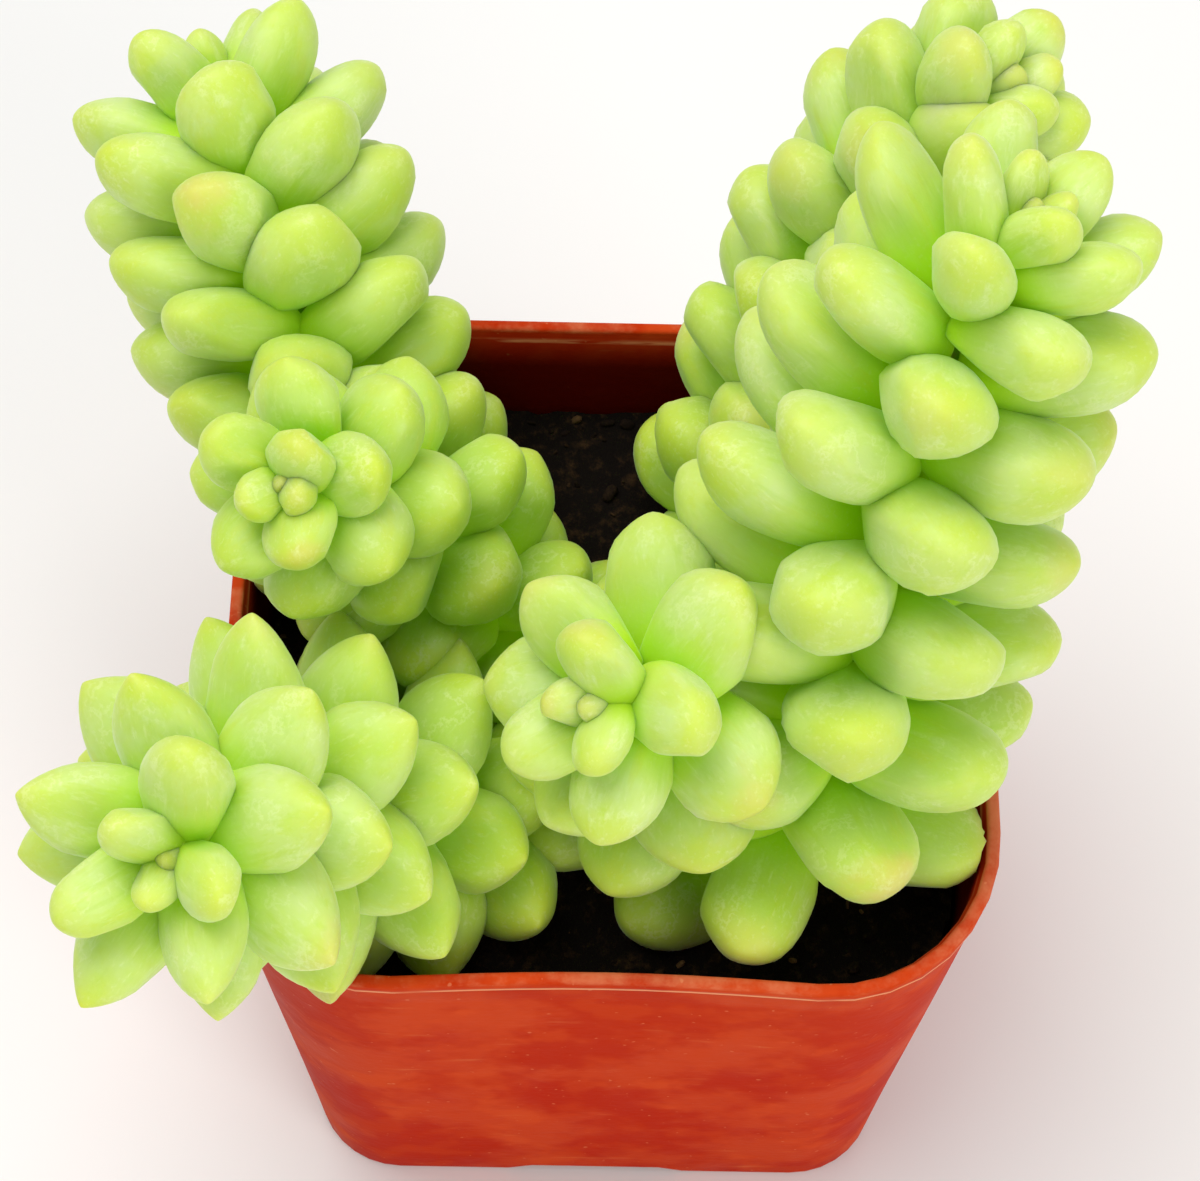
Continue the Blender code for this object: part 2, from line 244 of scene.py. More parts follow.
@dataclass(frozen=True)
class WaxySkin:
    """The waxy, faintly translucent skin of a plump leaf, with painted shade and a painted glow at each
    leaf's foot, painted shade on low and shaded leaves, and partly painted sheen along each leaf's sides.
    """

    name: str = "waxy_leaf_skin"
    # Painted shade: a darker, saturated green at each leaf's foot, where the leaves crowd.
    painted_base_shade: Colour = (0.440, 0.740, 0.003)
    # Painted glow: the colour of the emission at each leaf's foot, which lights the crevices.
    painted_base_glow: Colour = (0.450, 0.750, 0.000)
    shaded: Colour = (0.400, 0.630, 0.012)
    fresh: Colour = (0.550, 0.720, 0.130)
    bloom: Colour = (0.610, 0.760, 0.290)
    wax: Colour = (0.780, 0.860, 0.500)
    tip: Colour = (0.570, 0.690, 0.050)
    blush: Colour = (0.760, 0.470, 0.160)
    roughness: float = 0.46
    painted_glow_strength: float = 0.065
    glow: float = 0.65
    glow_depth: float = 5.0 * MM
    streak_stretch: float = 0.22
    unlikeness: float = 37.0
    relief_depth: float = 0.16 * MM

    def make(self) -> bpy.types.Material:
        """Return the material."""
        bench = Bench(self.name)
        along = bench.attribute("leaf_along")
        tone = bench.attribute("leaf_tone")
        blush = bench.attribute("leaf_blush")
        shade = bench.attribute("leaf_shade")
        across = bench.attribute("leaf_across")
        own = bench.node("ShaderNodeCombineXYZ", None, {
            0: across, 1: bench.attribute("leaf_depth"),
            2: along * self.streak_stretch + tone * self.unlikeness}).outputs[0]
        clouds = bench.noise(4.5 * MM, 3.0)
        mottle = bench.noise(1.7 * MM, 5.0, 0.6, offset=3.0)
        streaks = bench.noise(0.13, 4.0, 0.6, own)
        rubbed = bench.noise(0.42, 5.0, 0.68, own, 5.0)
        grain = bench.noise(0.35 * MM, 2.0, offset=7.0)
        fibres = bench.noise(0.050, 4.0, 0.65, own, 9.0)
        marks = bench.noise(2.6 * MM, 5.0, 0.65, offset=11.0)

        tip_share = (along + (mottle - 0.5) * 0.30).ramp(0.74, 1.0)
        blush_share = blush * (along + (clouds - 0.5) * 0.5).ramp(0.80, 1.06)
        open_side = along.ramp(0.30, 0.65)
        scrapes = marks.line(0.5, 0.04) * rubbed.ramp(0.50, 0.60)
        colour = bench.coats(
            self.fresh,
            (self.bloom, clouds.ramp(0.36, 0.66) * (0.50 + tone * 0.40)),
            (self.bloom, rubbed.ramp(0.50, 0.56) * 0.45),
            # partly the wax bloom, partly painted sheen: each leaf's sides are paler
            (self.bloom, (across * across).ramp(0.09, 0.22) * 0.35),
            # painted shade: leaves low by the soil, and shoots set as shaded, are a darker green
            (self.shaded, shade * 0.65),
            (self.shaded, streaks.ramp(0.52, 0.70) * 0.25),
            # painted shade: darker saturated green toward each leaf's foot
            (self.painted_base_shade, along.ramp(0.70, 0.15) * 0.95),
            (self.tip, tip_share * (0.25 + tone * 0.45)),
            (self.tip, rubbed.ramp(0.46, 0.36) * 0.40),
            (self.blush, blush_share * 0.50),
            (self.bloom, grain.ramp(0.52, 0.80) * 0.25),
            (self.wax, fibres.ramp(0.54, 0.72) * open_side * (0.15 + tone * 0.20)),
            (self.wax, scrapes * open_side * 0.26),
        )
        relief = mottle * 0.4 + grain * 0.2 + clouds * 0.5 + streaks * 0.3
        bench.bump(relief, self.relief_depth, 0.5)
        return bench.finish(
            Base_Color=colour,
            Roughness=self.roughness + (mottle - 0.5) * 0.24,
            Subsurface_Weight=self.glow,
            Subsurface_Radius=(0.80, 1.0, 0.14),
            Subsurface_Scale=self.glow_depth,
            # painted glow: emission toward each leaf's foot, though the leaf is no lamp
            Emission_Color=bench.mix((0.0, 0.0, 0.0), self.painted_base_glow, along.ramp(0.70, 0.25)),
            Emission_Strength=self.painted_glow_strength,
            Sheen_Weight=0.22,
            Sheen_Roughness=0.35,
            Sheen_Tint=(0.80, 1.0, 0.78, 1.0),
            IOR=1.40,
        )


@dataclass(frozen=True)
class StemSkin:
    """The dull green skin of a fleshy stem, with pale scars where leaves sat."""

    name: str = "stem_skin"
    green: Colour = (0.300, 0.560, 0.050)
    scar: Colour = (0.420, 0.440, 0.220)

    def make(self) -> bpy.types.Material:
        """Return the material."""
        bench = Bench(self.name)
        patches = bench.noise(1.4 * MM, 4.0)
        colour = bench.mix(self.green, self.scar, patches.ramp(0.50, 0.66))
        bench.bump(patches, 0.3 * MM, 0.7)
        return bench.finish(Base_Color=colour, Roughness=0.55, Subsurface_Weight=0.1,
                            Subsurface_Scale=1.0 * MM)


@dataclass(frozen=True)
class PotPlastic:
    """Thin terracotta-red moulded plastic: satin, blotched, scuffed, and rubbed pale at the lip, which is
    partly a painted highlight; its inner face carries painted shade.
    """

    name: str = "terracotta_plastic"
    red: Colour = (0.485, 0.017, 0.0003)
    blotch: Colour = (0.640, 0.066, 0.012)
    # Painted shade: the colour that darkens the pot's inner face nearly to black.
    inside: Colour = (0.100, 0.003, 0.0015)
    dust: Colour = (0.700, 0.200, 0.090)
    # Pale rubbing at the rim and the lip's step, partly a painted highlight.
    wear_and_highlight: Colour = (0.860, 0.400, 0.200)
    roughness: float = 0.40
    height: float = 58.0 * MM
    lip: float = 1.35 * MM

    def make(self) -> bpy.types.Material:
        """Return the material."""
        bench = Bench(self.name)
        split = bench.node("ShaderNodeSeparateXYZ", None, {0: bench.place()})
        up = Expression(bench, split.outputs[2])
        inner = bench.attribute("pot_inside")
        clouds = bench.noise(13 * MM, 4.0, 0.6)
        patches = bench.noise(5.5 * MM, 3.0, 0.5, None, 6.0)
        streaks = bench.noise(1.1 * MM, 3.0, 0.6, bench.stretched((0.14, 0.14, 1.0)), 2.0)
        specks = bench.noise(0.7 * MM, 1.0, 0.5, None, 5.0)
        scuffs = bench.noise(2.6 * MM, 5.0, 0.7, bench.stretched((0.40, 0.40, 1.0)), 9.0)

        # The wall also turns paler towards the rim.
        upper = up.ramp(0.45 * self.height, 1.05 * self.height) * 0.25
        cloudy = clouds.ramp(0.44, 0.60) * 0.60 + patches.ramp(0.50, 0.62) * 0.30 + upper
        scratches = streaks.ramp(0.60, 0.72) * clouds.ramp(0.40, 0.58)
        # Painted highlight: a thin pale line along the lip's step, broken up by streaks.
        edge = self.height - self.lip
        line = up.ramp(edge - 0.25 * MM, edge) * up.ramp(edge + 0.45 * MM, edge + 0.15 * MM)
        # Pale rubbing along the rim's top edge: wear, and partly a painted highlight.
        rubbed = up.ramp(self.height - 0.5 * MM, self.height - 0.1 * MM)
        colour = bench.coats(
            self.red,
            (self.blotch, cloudy),
            (self.dust, scratches * 0.40),
            (self.dust, specks.ramp(0.70, 0.78) * 0.60),
            (self.dust, scuffs.ramp(0.64, 0.78) * 0.35),
            # painted shade on the pot's inner face
            (self.inside, inner * 0.92),
            (self.wear_and_highlight, line * streaks.ramp(0.36, 0.50) * (1 - inner) * 0.85),
            (self.wear_and_highlight, rubbed * scuffs.ramp(0.40, 0.66) * 0.35),
        )

        bench.bump(clouds * 0.8 + streaks * 0.15 + specks * 0.15 + patches * 0.3, 0.35 * MM, 0.5)
        roughness = self.roughness + (patches - 0.5) * 0.35 + scratches * 0.3 + inner * 0.15
        return bench.finish(Base_Color=colour, Roughness=roughness, IOR=1.16, Specular_IOR_Level=0.05)


@dataclass(frozen=True)
class SoilMix:
    """Damp, nearly black potting mix with a few brown flecks."""

    name: str = "potting_mix"
    black: Colour = (0.0065, 0.0045, 0.0035)
    brown: Colour = (0.045, 0.024, 0.010)
    fleck: Colour = (0.170, 0.090, 0.030)

    def make(self) -> bpy.types.Material:
        """Return the material."""
        bench = Bench(self.name)
        crumbs = bench.noise(1.3 * MM, 6.0, 0.7)
        bits = bench.noise(0.8 * MM, 3.0, 0.6, None, 4.0)
        colour = bench.mix(self.black, self.brown, crumbs.ramp(0.48, 0.74))
        colour = bench.mix(colour, self.fleck, bits.ramp(0.72, 0.80) * 0.8)
        bench.bump(crumbs + bits * 0.4, 0.8 * MM, 0.9)
        return bench.finish(Base_Color=colour, Roughness=0.95, Specular_IOR_Level=0.08)


@dataclass(frozen=True)
class CrumbBark:
    """Bark, peat and grit on the soil, each bit in its own shade."""

    name: str = "bark_crumbs"
    dark: Colour = (0.010, 0.006, 0.004)
    light: Colour = (0.200, 0.110, 0.045)

    def make(self) -> bpy.types.Material:
        """Return the material."""
        bench = Bench(self.name)
        shade = bench.attribute("crumb_shade")
        grain = bench.noise(0.4 * MM, 4.0, 0.7)
        colour = bench.mix(self.dark, self.light, shade * 0.75 + (grain - 0.5) * 0.3)
        bench.bump(grain, 0.2 * MM, 0.8)
        return bench.finish(Base_Color=colour, Roughness=0.95, Specular_IOR_Level=0.08)


@dataclass(frozen=True)
class PaleFloor:
    """A plain pale studio floor."""

    name: str = "pale_floor"
    white: Colour = (0.90, 0.90, 0.89)

    def make(self) -> bpy.types.Material:
        """Return the material."""
        return Bench(self.name).finish(Base_Color=(*self.white, 1.0), Roughness=0.8)


# --- working by hand ----------------------------------------------------------------


class Workbench:
    """The few moves that every piece is made with."""

    @staticmethod
    def clear() -> None:
        """Leave nothing selected and be in object mode."""
        if bpy.context.object and bpy.context.object.mode != "OBJECT":
            bpy.ops.object.mode_set(mode="OBJECT")
        bpy.ops.object.select_all(action="DESELECT")

    @staticmethod
    def take(piece: bpy.types.Object) -> None:
        """Select one piece and make it active."""
        Workbench.clear()
        piece.select_set(True)
        bpy.context.view_layer.objects.active = piece

    @staticmethod
    @contextmanager
    def editing(piece: bpy.types.Object) -> Iterator[None]:
        """Work on one piece in edit mode, with all of it selected at first."""
        Workbench.take(piece)
        bpy.ops.object.mode_set(mode="EDIT")
        bpy.ops.mesh.select_all(action="SELECT")
        yield
        bpy.ops.object.mode_set(mode="OBJECT")

    @staticmethod
    def cap(sleeve: bpy.types.Object, levels: Sequence[float], hair: float) -> None:
        """Close a sleeve's open ends and point its faces outwards.

        Args:
            sleeve: the open sleeve.
            levels: how high the ends to close lie.
            hair: how near to a level an edge has to be to count as lying there.
        """
        with Workbench.editing(sleeve):
            for level in levels:
                Workbench.pick(sleeve, "EDGE",
                               lambda edge: all(abs(v.co.z - level) < hair for v in edge.verts))
                bpy.ops.mesh.edge_face_add()
            bpy.ops.mesh.select_all(action="SELECT")
            bpy.ops.mesh.normals_make_consistent(inside=False)

    @staticmethod
    def pick(piece: bpy.types.Object, mode: str, wanted: Callable[[Any], bool]) -> None:
        """Select a mesh's vertices, edges or faces in edit mode by a test.

        Args:
            piece: the object in edit mode.
            mode: VERT, EDGE or FACE.
            wanted: says whether one element is picked.
        """
        bpy.ops.mesh.select_mode(type=mode)
        bpy.ops.mesh.select_all(action="DESELECT")
        shape = bmesh.from_edit_mesh(piece.data)
        elements = {"VERT": shape.verts, "EDGE": shape.edges, "FACE": shape.faces}[mode]
        for element in elements:
            if wanted(element):
                element.select_set(True)
        shape.select_flush_mode()
        bmesh.update_edit_mesh(piece.data)

    @staticmethod
    def modify(piece: bpy.types.Object, kind: str, **settings: Any) -> None:
        """Add a modifier to a piece and apply it."""
        Workbench.take(piece)
        modifier = piece.modifiers.new(kind.lower(), kind)
        for key, value in settings.items():
            setattr(modifier, key, value)
        bpy.ops.object.modifier_apply(modifier=modifier.name)

    @staticmethod
    def join(pieces: Sequence[bpy.types.Object], name: str) -> bpy.types.Object:
        """Join pieces into one object under a new name."""
        Workbench.clear()
        for piece in pieces:
            piece.select_set(True)
        bpy.context.view_layer.objects.active = pieces[0]
        bpy.ops.object.join()
        joined = bpy.context.view_layer.objects.active
        joined.name = name
        joined.data.name = name
        return joined

    @staticmethod
    def settle(piece: bpy.types.Object) -> None:
        """Put a piece's place into its mesh, so that its object sits at the origin."""
        Workbench.take(piece)
        bpy.ops.object.transform_apply(location=True, rotation=True, scale=True)

    @staticmethod
    def hand_in(piece: bpy.types.Object, finish: bpy.types.Material, slot: str, *nodes: str) -> None:
        """Dress a finished piece, hang it on the body and hide the CAD nodes that it stands for.

        Args:
            piece: the finished object.
            finish: its material.
            slot: not used.
            nodes: the CAD nodes that it stands for.
        """
        piece.data.materials.clear()
        piece.data.materials.append(finish)
        Workbench.take(piece)
        bpy.ops.object.shade_smooth_by_angle(angle=math.radians(50))
        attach(piece, BODY)
        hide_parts(*nodes)
        LOG.info("%s: %d faces", piece.name, len(piece.data.polygons))


def set_number(mesh: bpy.types.Mesh, name: str, values: np.ndarray) -> None:
    """Store one number per vertex on a mesh."""
    layer = mesh.attributes.get(name) or mesh.attributes.new(name, "FLOAT", "POINT")
    layer.data.foreach_set("value", np.ascontiguousarray(values, dtype=np.float32))


def points_of(mesh: bpy.types.Mesh) -> np.ndarray:
    """Return a mesh's vertices as rows of x, y and z."""
    points = np.empty(len(mesh.vertices) * 3, dtype=np.float32)
    mesh.vertices.foreach_get("co", points)
    return points.reshape(-1, 3)


def put_points(mesh: bpy.types.Mesh, points: np.ndarray) -> None:
    """Move a mesh's vertices to these places."""
    mesh.vertices.foreach_set("co", np.ascontiguousarray(points, dtype=np.float32).ravel())
    mesh.update()


# --- the pot ------------------------------------------------------------------------


@dataclass
class NurseryPot:
    """A thin moulded pot with round corners, wider at the rim, its front side pressed in."""

    width: float = 63.5 * MM
    base_width: float = 53.0 * MM
    height: float = 58.0 * MM
    wall: float = 1.1 * MM
    rim_corner: float = 15.0 * MM
    base_corner: float = 8.0 * MM
    rim_round: float = 0.35 * MM
    base_round: float = 0.6 * MM
    front_bow: float = 1.2 * MM
    lip_height: float = 1.35 * MM
    lip_out: float = 0.22 * MM
    channel_width: float = 19.0 * MM
    channel_top: float = 12.0 * MM
    channel_depth: float = 1.7 * MM
    floor_thickness: float = 2.8 * MM
    channel_start: float = 12.0 * MM
    drain_radius: float = 2.5 * MM
    drain_offset: float = 17.0 * MM
    corner_segments: int = 8
    side_cuts: int = 9
    wall_cuts: int = 12

    def outline(self, width: float, corner: float, height: float) -> bpy.types.Object:
        """Add a square outline with round corners.

        Args:
            width: the width across the flats.
            corner: the corners' radius.
            height: how high it lies.

        Returns:
            A loop of edges with no face.
        """
        Workbench.clear()
        bpy.ops.mesh.primitive_plane_add(size=width, location=(0, 0, height))
        loop = bpy.context.object
        straight = (width - 2 * corner) * 0.9
        with Workbench.editing(loop):
            bpy.ops.mesh.bevel(offset=corner, segments=self.corner_segments, affect="VERTICES")
            bpy.ops.mesh.select_all(action="SELECT")
            bpy.ops.mesh.delete(type="ONLY_FACE")
            Workbench.pick(loop, "EDGE", lambda edge: edge.calc_length() > straight)
            bpy.ops.mesh.subdivide(number_cuts=self.side_cuts)
        return loop

    def spread(self, rise: Any) -> Tuple[Any, Any]:
        """Return the outer width and corner radius at a share of the height, or at many."""
        across = self.base_width + (self.width - self.base_width) * rise
        corner = self.base_corner + (self.rim_corner - self.base_corner) * rise
        return across, corner

    def skin(self, inset: float, low: float, high: float) -> bpy.types.Object:
        """Bridge an outline at one height to an outline at another.

        Args:
            inset: how far inside the pot's outer face both lie.
            low: the lower outline's height.
            high: the upper outline's height.

        Returns:
            An open sleeve, as high as the two outlines are apart.
        """
        loops = []
        for level in (low, high):
            across, corner = self.spread(level / self.height)
            loops.append(self.outline(across - 2 * inset, corner - inset, level))
        sleeve = Workbench.join(loops, "sleeve")
        with Workbench.editing(sleeve):
            bpy.ops.mesh.bridge_edge_loops(number_cuts=self.wall_cuts)
        Workbench.settle(sleeve)
        return sleeve

    def press_front(self, piece: bpy.types.Object) -> None:
        """Bow the front side inwards, most of all in the middle of the rim."""
        points = points_of(piece.data)
        rise = np.clip(points[:, 2] / self.height, 0.0, 1.0)
        across, corner = self.spread(rise)
        half = across / 2
        flat = half - corner
        bow = self.front_bow * rise ** 2 * np.cos(np.pi * points[:, 0] / (2 * half)) ** 2
        share = np.clip((-points[:, 1] - 0.6 * flat) / (0.4 * flat), 0.0, 1.0)
        points[:, 1] += bow * share
        put_points(piece.data, points)

    def raise_lip(self, pot: bpy.types.Object) -> None:
        """Step the wall out a little just below the rim."""
        foot = self.height - self.lip_height
        grow = 1 + 2 * self.lip_out / self.width
        with Workbench.editing(pot):
            for level in (foot - self.lip_out, foot):
                bpy.ops.mesh.select_all(action="SELECT")
                bpy.ops.mesh.bisect(plane_co=(0, 0, level), plane_no=(0, 0, 1))
            Workbench.pick(pot, "VERT", lambda vertex: vertex.co.z > foot - self.lip_out / 2)
            bpy.ops.transform.resize(value=(grow, grow, 1), center_override=(0, 0, self.height))

    def cut(self, pot: bpy.types.Object, cutter: bpy.types.Object) -> None:
        """Take a cutter's shape out of the pot, and remove the cutter."""
        Workbench.modify(pot, "BOOLEAN", operation="DIFFERENCE", solver="EXACT", object=cutter)
        bpy.data.objects.remove(cutter, do_unlink=True)

    def slant(self, channel: bpy.types.Object, turn: float) -> None:
        """Narrow a channel cutter's upper side, so that the channel's ends slope."""
        across = Vector((-math.sin(turn), math.cos(turn), 0))
        steep = (self.channel_width - self.channel_top) / 2
        for vertex in channel.data.vertices:
            side = math.copysign(1, vertex.co.dot(across))
            vertex.co -= across * side * steep * vertex.co.z / self.channel_depth

    def cut_drains(self, pot: bpy.types.Object) -> None:
        """Cut the shallow channel and the hole under the middle of each side."""
        length = self.width / 2 - self.channel_start
        reach = self.channel_start + length / 2
        for quarter in range(4):
            turn = math.radians(90 * quarter)
            across, along = math.cos(turn), math.sin(turn)
            Workbench.clear()
            bpy.ops.mesh.primitive_cube_add(
                size=1, location=(reach * across, reach * along, 0),
                rotation=(0, 0, turn), scale=(length, self.channel_width, 2 * self.channel_depth))
            channel = bpy.context.object
            Workbench.settle(channel)
            self.slant(channel, turn)
            self.cut(pot, channel)
            Workbench.clear()
            bpy.ops.mesh.primitive_cylinder_add(
                vertices=24, radius=self.drain_radius, depth=12 * self.wall,
                location=(self.drain_offset * across, self.drain_offset * along, 0))
            self.cut(pot, bpy.context.object)

    def build(self, finish: bpy.types.Material) -> None:
        """Model the pot and dress it."""
        hair = self.wall / 20
        pot = self.skin(0.0, 0.0, self.height)
        Workbench.cap(pot, [0.0], hair)
        self.raise_lip(pot)
        self.press_front(pot)
        Workbench.modify(pot, "SOLIDIFY", thickness=self.wall, offset=-1.0, use_even_offset=True)
        with Workbench.editing(pot):
            Workbench.pick(pot, "VERT", lambda vertex: abs(vertex.co.z - self.wall) < hair)
            bpy.ops.transform.translate(value=(0, 0, self.floor_thickness - self.wall))
            Workbench.pick(pot, "EDGE", lambda edge: all(v.co.z < hair for v in edge.verts))
            bpy.ops.mesh.bevel(offset=self.base_round, segments=3, affect="EDGES")
        Workbench.modify(pot, "BEVEL", width=self.rim_round, segments=3, limit_method="ANGLE",
                         angle_limit=math.radians(60))
        self.cut_drains(pot)
        pot.name = "square_pot_shell"
        self.mark_inside(pot)
        Workbench.hand_in(pot, finish, "pot_plastic", "square_pot")

    def mark_inside(self, pot: bpy.types.Object) -> None:
        """Give the pot's inner face its own number, which fades out at the rim; the plastic's skin paints
        shade with it.
        """
        points = points_of(pot.data)
        normals = np.array([vertex.normal for vertex in pot.data.vertices])
        radial = points[:, :2] / (np.linalg.norm(points[:, :2], axis=1, keepdims=True) + TINY)
        facing = (normals[:, :2] * radial).sum(axis=1)
        below_rim = np.clip((self.height - points[:, 2]) / (2 * MM), 0.0, 1.0)
        above_base = points[:, 2] > self.wall / 2
        inner = np.clip(0.5 - 2 * facing, 0.0, 1.0)
        set_number(pot.data, "pot_inside", inner * below_rim * above_base)

    def half_inside(self, height: np.ndarray, margin: float) -> Tuple[np.ndarray, np.ndarray]:
        """Return the inner half width and corner radius at each height, less a margin."""
        across, corner = self.spread(np.clip(height / self.height, 0.0, 1.0))
        return across / 2 - self.wall - margin, corner - self.wall - margin

    def outside_by(self, points: np.ndarray, margin: float) -> Tuple[np.ndarray, np.ndarray]:
        """Measure how far points lie outside the pot's inner face.

        Args:
            points: rows of x, y and z.
            margin: how far inside the inner face counts as outside already.

        Returns:
            The distance of each point outside the face (negative inside it), and the
            direction to it.
        """
        half, corner = self.half_inside(points[:, 2], margin)
        signs = np.sign(points[:, :2])
        past = np.abs(points[:, :2]) - (half - corner)[:, None]
        both = np.maximum(past, 0.0)
        length = np.linalg.norm(both, axis=1)
        distance = length - corner
        ways = both / (length[:, None] + TINY) * signs
        return distance, ways

    def press(self, points: np.ndarray, over_rim: bool, gap: float) -> np.ndarray:
        """Keep a leaf's points out of the wall.

        Args:
            points: the leaf's points.
            over_rim: whether the leaf leans over the rim, and is lifted by it; if not,
                it is pressed against the inner face.
            gap: the room left to the wall.

        Returns:
            The points, moved where they have to be.
        """
        distance, ways = self.outside_by(points, gap)
        points = points.copy()
        if over_rim:
            on_wall = (distance > -0.5 * MM) & (distance < self.wall + 1.5 * MM)
            lift = np.maximum(self.height + gap - points[:, 2], 0.0)
            points[:, 2] += np.where(on_wall, lift, 0.0)
        else:
            push = np.where(points[:, 2] < self.height + gap, np.maximum(distance, 0.0), 0.0)
            points[:, :2] -= ways * push[:, None]
        return points


# --- the soil -----------------------------------------------------------------------


@dataclass
class SoilFill:
    """The potting mix: a lumpy block that fills the pot, and the bits that lie on it."""

    pot: NurseryPot
    level: float = 47.5 * MM
    floor: float = 3.2 * MM
    gap: float = 0.3 * MM
    grain: float = 0.9 * MM
    lump: float = 0.9 * MM
    lump_span: float = 3.5 * MM
    crumbs: int = 420
    smallest: float = 0.35 * MM
    largest: float = 1.15 * MM
    crumb_bevel: float = 0.22
    crumb_lift: float = 0.18
    crumb_stretch: Tuple[Range, Range, Range] = ((0.7, 2.0), (0.6, 1.1), (0.4, 0.9))
    seed: int = 41

    def top(self, x: float, y: float) -> float:
        """Return how high the soil stands at a place."""
        broad = noise.noise(Vector((x, y, 0)) / (3.0 * self.lump_span))
        fine = noise.fractal(Vector((x, y, 9 * MM)) / self.lump_span, 0.6, 2.1, 5)
        return self.level + self.lump * (0.7 * broad + 0.6 * fine)

    def block(self, finish: bpy.types.Material) -> None:
        """Model the block of soil and dress it."""
        soil = self.pot.skin(self.pot.wall + self.gap, self.floor, self.level)
        Workbench.cap(soil, [self.floor, self.level], self.gap)
        self.pot.press_front(soil)
        Workbench.modify(soil, "REMESH", mode="VOXEL", voxel_size=self.grain)
        for vertex in soil.data.vertices:
            x, y, z = vertex.co
            if z > self.level - self.grain:
                vertex.co.z = self.top(x, y)
        soil.name = "soil_fill"
        Workbench.hand_in(soil, finish, "soil_mix", "soil")

    def crumb(self) -> bpy.types.Object:
        """Return one angular crumb of unit size."""
        Workbench.clear()
        bpy.ops.mesh.primitive_cube_add(size=1)
        crumb = bpy.context.object
        with Workbench.editing(crumb):
            bpy.ops.mesh.bevel(offset=self.crumb_bevel, segments=1, affect="EDGES")
        return crumb

    def scatter(self, finish: bpy.types.Material) -> None:
        """Scatter copies of the crumb over the soil and dress them as one piece."""
        rng = random.Random(self.seed)
        master = self.crumb()
        lying = []
        reach = self.pot.width / 2
        while len(lying) < self.crumbs:
            x, y = rng.uniform(-reach, reach), rng.uniform(-reach, reach)
            size = self.smallest + (self.largest - self.smallest) * rng.random() ** 3
            spot = np.array([[x, y, self.level]])
            outside, _ = self.pot.outside_by(spot, self.gap + size)
            if outside[0] > 0:
                continue
            copy = master.copy()
            copy.data = master.data.copy()
            bpy.context.collection.objects.link(copy)
            turned = rng.uniform(0, math.tau)
            turn = Matrix.Rotation(turned, 4, Vector([rng.gauss(0, 1) for _ in range(3)]))
            extents = [size * rng.uniform(*stretch) for stretch in self.crumb_stretch]
            shape = Matrix.Diagonal((*extents, 1))
            lift = Matrix.Translation((x, y, self.top(x, y) + self.crumb_lift * size))
            copy.data.transform(lift @ turn @ shape)
            shade = rng.random() ** 4
            set_number(copy.data, "crumb_shade", np.full(len(copy.data.vertices), shade))
            lying.append(copy)
        bpy.data.objects.remove(master, do_unlink=True)
        crumbs = Workbench.join(lying, "soil_crumbs")
        Workbench.settle(crumbs)
        Workbench.hand_in(crumbs, finish, "soil_mix", "soil")


# --- the plant ----------------------------------------------------------------------


class LeafForm(Enum):
    """How a leaf is shaped: where it is widest, and how its ends close."""

    BLUNT = (0.52, 2.80, 1.65, 0.42)
    POINTED = (0.46, 2.05, 1.28, 0.42)
    OBTUSE = (0.50, 2.50, 1.45, 0.45)
    YOUNG = (0.50, 2.60, 1.80, 0.60)

    @property
    def widest(self) -> float:
        """The share of the length where the leaf is widest."""
        return self.value[0]

    def girth(self, share: float) -> float:
        """Return the leaf's girth at a share of its length, from 0 to 1."""
        _, fall, close, foot = self.value
        if share > self.widest:
            past = (share - self.widest) / (1 - self.widest)
            return max(0.0, 1 - past ** fall) ** (1 / close)
        before = 1 - share / self.widest
        return foot + (1 - foot) * max(0.0, 1 - before ** 2.0) ** 0.55


